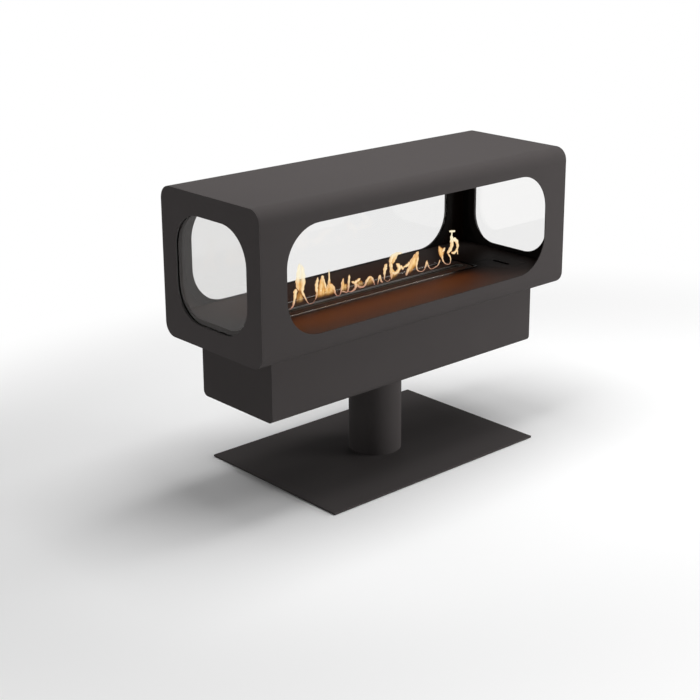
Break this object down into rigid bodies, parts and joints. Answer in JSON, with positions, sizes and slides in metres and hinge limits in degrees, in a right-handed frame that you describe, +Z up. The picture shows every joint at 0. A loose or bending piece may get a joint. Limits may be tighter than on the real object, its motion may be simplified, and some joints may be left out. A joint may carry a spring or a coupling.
{
  "type": "bioethanol fireplace",
  "caption": "Free-standing bioethanol fireplace: a long rounded hood with an open front and glazed back and ends, over a plinth, a round column and a flat floor plate.",
  "frame": {"origin": "centre of the base at floor level, under the column", "axes": "+X along the hood to the right, -Y to the open front, +Z up"},
  "size_m": [1.385, 0.64, 1.02],
  "materials": {
    "anthracite_coat": "fine matte powder coat, warm anthracite",
    "heat_black": "matte heat-proof black",
    "polished_steel": "polished",
    "stainless_sheet": "brushed",
    "zinc_plated_steel": "zinc plated",
    "coated_screws": "matte powder coat",
    "clear_glass": "clear toughened glass",
    "black_rubber": "matte",
    "ceramic_fibre": "soft ceramic fibre",
    "black_plastic": "fine texture",
    "button_plastic": "satin gloss",
    "board_laminate": "solder mask",
    "component_plastic": "moulded"
  },
  "bodies": {
    "fireplace": {"back_gasket": "black_rubber", "back_glass": "clear_glass", "back_retainer": "heat_black", "base_screws": "zinc_plated_steel", "base_underlay": "black_rubber", "board_components": "component_plastic", "burn_trough": "stainless_sheet", "burner_casing": "zinc_plated_steel", "burner_lip": "polished_steel", "burner_top_plate": "heat_black", "ceramic_strip": "ceramic_fibre", "column_base_ring": "zinc_plated_steel", "column_bolts": "zinc_plated_steel", "column_top_ring": "zinc_plated_steel", "column_tube": "anthracite_coat", "control_board": "board_laminate", "control_panel": "heat_black", "deck": "anthracite_coat", "deck_rails": "zinc_plated_steel", "deck_screws": "coated_screws", "end_brackets": "zinc_plated_steel", "end_nuts": "zinc_plated_steel", "end_panel_left": "anthracite_coat", "end_panel_right": "anthracite_coat", "fan_housing": "black_plastic", "filler_neck": "stainless_sheet", "floor_plate": "anthracite_coat", "fuel_pipes": "stainless_sheet", "fuel_pump": "black_plastic", "fuel_tank": "stainless_sheet", "hatch_frame": "zinc_plated_steel", "heat_shield": "heat_black", "hood_bolts": "zinc_plated_steel", "hood_nuts": "zinc_plated_steel", "hood_wrap": "anthracite_coat", "igniter": "stainless_sheet", "left_gasket": "black_rubber", "left_glass": "clear_glass", "left_retainer": "heat_black", "level_sensor": "stainless_sheet", "load_spreader": "zinc_plated_steel", "plinth_end_left": "anthracite_coat", "plinth_end_right": "anthracite_coat", "plinth_shell": "anthracite_coat", "power_inlet": "black_plastic", "retainer_nuts": "zinc_plated_steel", "right_gasket": "black_rubber", "right_glass": "clear_glass", "right_retainer": "heat_black", "shield_screws": "zinc_plated_steel", "shield_spacers": "zinc_plated_steel", "switch_bezels": "black_plastic", "temperature_probe": "stainless_sheet"},
    "hatch": {"deck_hatch": "anthracite_coat"},
    "cap": {"filler_cap": "black_plastic"},
    "float": {"level_float": "black_plastic"},
    "button": {"start_button": "button_plastic"},
    "rocker": {"power_rocker": "button_plastic"},
    "rotor": {"fan_rotor": "black_plastic"}
  },
  "joints": [
    {"name": "hatch_lift", "type": "slide", "parent": "fireplace", "child": "hatch", "axis": [0, 0, 1], "range_m": [0, 0.12]},
    {"name": "cap_turn", "type": "hinge", "parent": "fireplace", "child": "cap", "pos_m": [0.545, -0.05, 0.575], "axis": [0, 0, 1], "range_deg": [0, 90]},
    {"name": "float_rise", "type": "slide", "parent": "fireplace", "child": "float", "axis": [0, 0, 1], "range_m": [0, 0.073]},
    {"name": "button_press", "type": "slide", "parent": "fireplace", "child": "button", "axis": [0, 0, -1], "range_m": [0, 0.0025], "stiffness_N_per_m": 400, "springref_m": -0.001},
    {"name": "rocker_tip", "type": "hinge", "parent": "fireplace", "child": "rocker", "pos_m": [0.572, -0.115, 0.557], "axis": [1, 0, 0], "range_deg": [0, 14]},
    {"name": "fan_spin", "type": "hinge", "parent": "fireplace", "child": "rotor", "pos_m": [-0.5, 0, 0.35], "axis": [0, 0, 1], "continuous": true}
  ]
}
